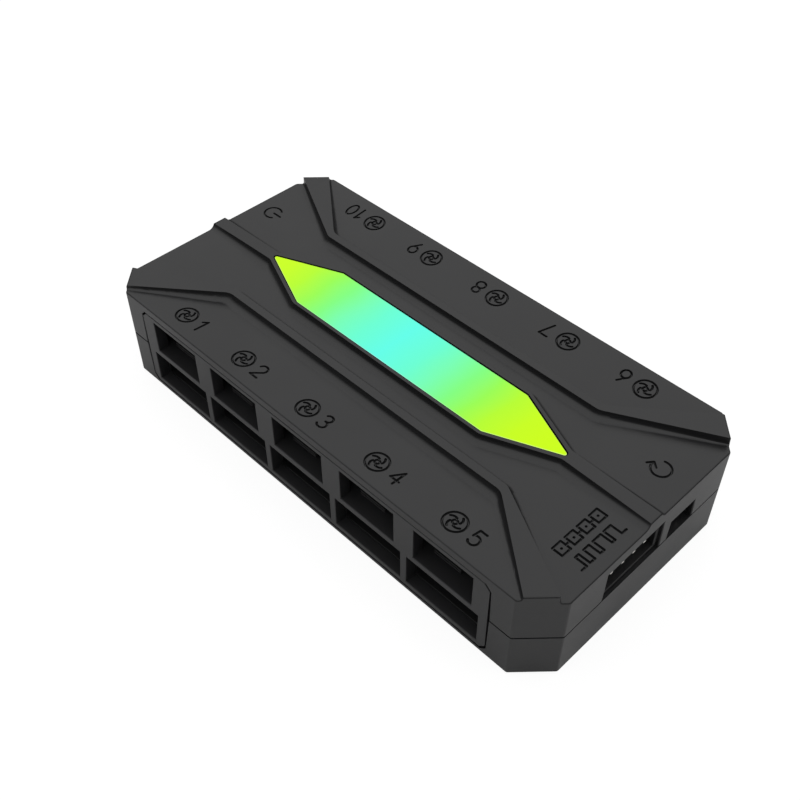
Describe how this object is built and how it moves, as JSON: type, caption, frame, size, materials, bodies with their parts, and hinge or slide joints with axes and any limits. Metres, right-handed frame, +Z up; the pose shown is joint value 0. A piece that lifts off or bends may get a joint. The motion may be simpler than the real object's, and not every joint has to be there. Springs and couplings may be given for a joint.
{
  "type": "pc fan controller hub",
  "caption": "Flat dark plastic hub for computer fans, with stacked fan and light ports along both long sides, control, reset and power headers at its ends and a lit lens on top.",
  "frame": {"origin": "middle of the case's footprint, on the surface it lies on", "axes": "X runs along the length, with the control and reset headers at +X and the power header at -X. Y runs across the width, with ports 1 to 5 facing -Y and ports 6 to 10 facing +Y. Z is up, through the lens."},
  "size_m": [0.0966, 0.0474, 0.0186],
  "materials": {
    "case_abs": "dark grey moulded plastic, very fine even texture",
    "frame_abs": "dark grey moulded plastic, smooth",
    "lens_acrylic": "polished diffusing acrylic, lit from below, lime to cyan",
    "board_laminate": "glass laminate under black solder mask",
    "lamp_resin": "white moulded lamp body with clear resin",
    "chip_epoxy": "black moulded epoxy",
    "can_aluminium": "drawn bare aluminium",
    "header_nylon": "black moulded nylon, smooth",
    "tinned_pins": "bright tin plate over drawn brass",
    "screw_steel": "black zinc plated steel"
  },
  "bodies": {
    "root": {"bottom_shell": "case_abs", "capacitors": "can_aluminium", "case_screws": "screw_steel", "circuit_board": "board_laminate", "control_header": "header_nylon", "control_pins": "tinned_pins", "controller_chip": "chip_epoxy", "fan_header_01": "header_nylon", "fan_header_02": "header_nylon", "fan_header_03": "header_nylon", "fan_header_04": "header_nylon", "fan_header_05": "header_nylon", "fan_header_06": "header_nylon", "fan_header_07": "header_nylon", "fan_header_08": "header_nylon", "fan_header_09": "header_nylon", "fan_header_10": "header_nylon", "fan_pins_01": "tinned_pins", "fan_pins_02": "tinned_pins", "fan_pins_03": "tinned_pins", "fan_pins_04": "tinned_pins", "fan_pins_05": "tinned_pins", "fan_pins_06": "tinned_pins", "fan_pins_07": "tinned_pins", "fan_pins_08": "tinned_pins", "fan_pins_09": "tinned_pins", "fan_pins_10": "tinned_pins", "lens_lamps": "lamp_resin", "light_header_01": "header_nylon", "light_header_02": "header_nylon", "light_header_03": "header_nylon", "light_header_04": "header_nylon", "light_header_05": "header_nylon", "light_header_06": "header_nylon", "light_header_07": "header_nylon", "light_header_08": "header_nylon", "light_header_09": "header_nylon", "light_header_10": "header_nylon", "light_lens": "lens_acrylic", "light_pins_01": "tinned_pins", "light_pins_02": "tinned_pins", "light_pins_03": "tinned_pins", "light_pins_04": "tinned_pins", "light_pins_05": "tinned_pins", "light_pins_06": "tinned_pins", "light_pins_07": "tinned_pins", "light_pins_08": "tinned_pins", "light_pins_09": "tinned_pins", "light_pins_10": "tinned_pins", "port_frame_far": "frame_abs", "port_frame_near": "frame_abs", "power_header": "header_nylon", "power_pins": "tinned_pins", "reset_header": "header_nylon", "reset_pins": "tinned_pins", "top_shell": "case_abs", "voltage_regulator": "chip_epoxy"}
  },
  "joints": []
}
